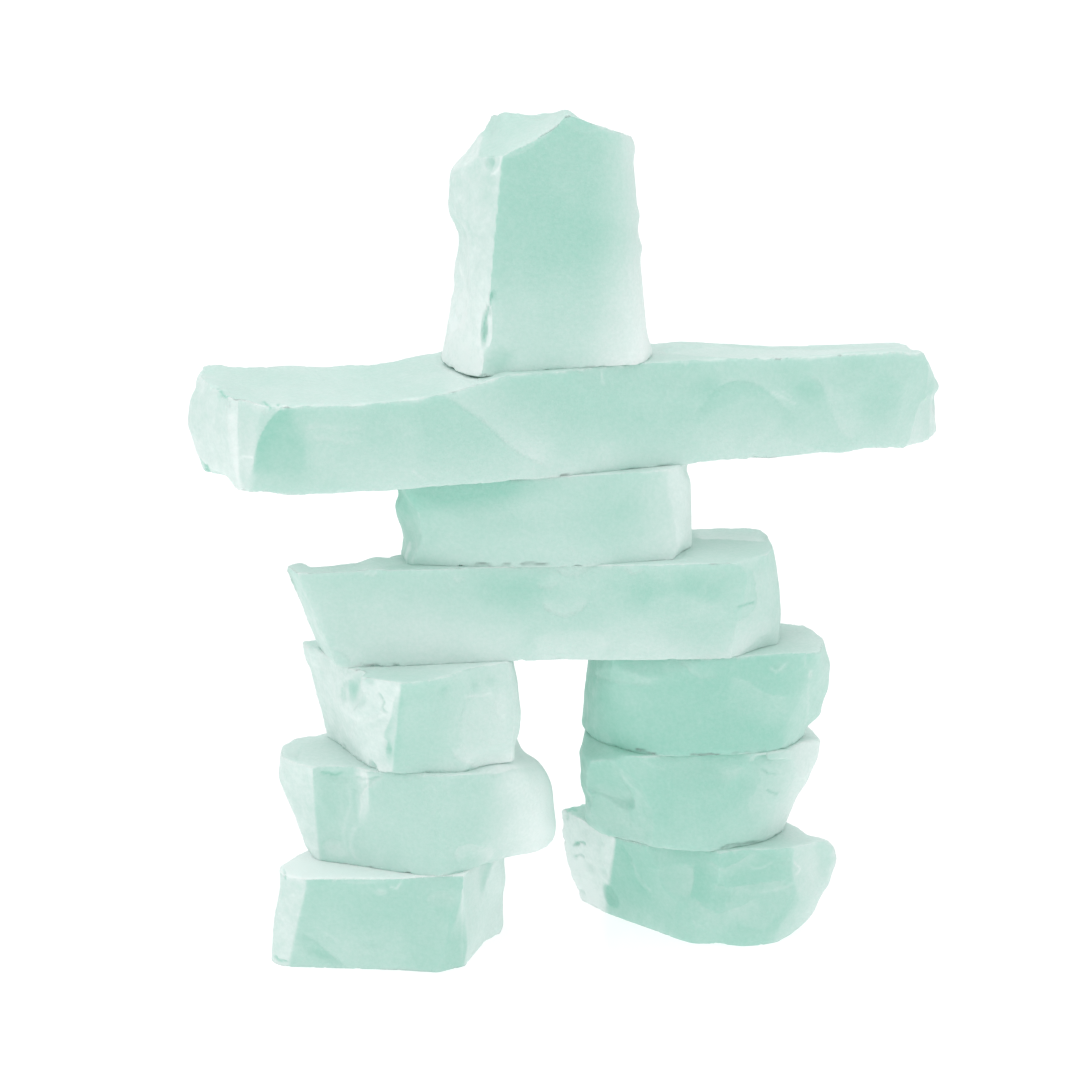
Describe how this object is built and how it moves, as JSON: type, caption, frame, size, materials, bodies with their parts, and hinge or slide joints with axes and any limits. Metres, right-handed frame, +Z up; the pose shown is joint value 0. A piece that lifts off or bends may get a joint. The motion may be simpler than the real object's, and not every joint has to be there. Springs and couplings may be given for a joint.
{
  "type": "inukshuk sculpture",
  "caption": "Standing figure of dry-stacked split stones, with legs, a hip slab, a chest block, a long arm slab and a tall head stone.",
  "frame": {"origin": "on the ground, under the middle of the figure's overall box", "axes": "+Z up, -Y the figure's front, +X to the viewer's right along the arm slab"},
  "size_m": [0.2168, 0.0562, 0.2431],
  "materials": {
    "stone": "split, matte pale green"
  },
  "bodies": {
    "root": {"left_foot_stone": "stone", "left_knee_stone": "stone", "left_thigh_stone": "stone", "right_foot_stone": "stone", "right_knee_stone": "stone", "right_thigh_stone": "stone", "hip_stone": "stone", "chest_stone": "stone", "arm_stone": "stone", "head_stone": "stone"}
  },
  "joints": []
}
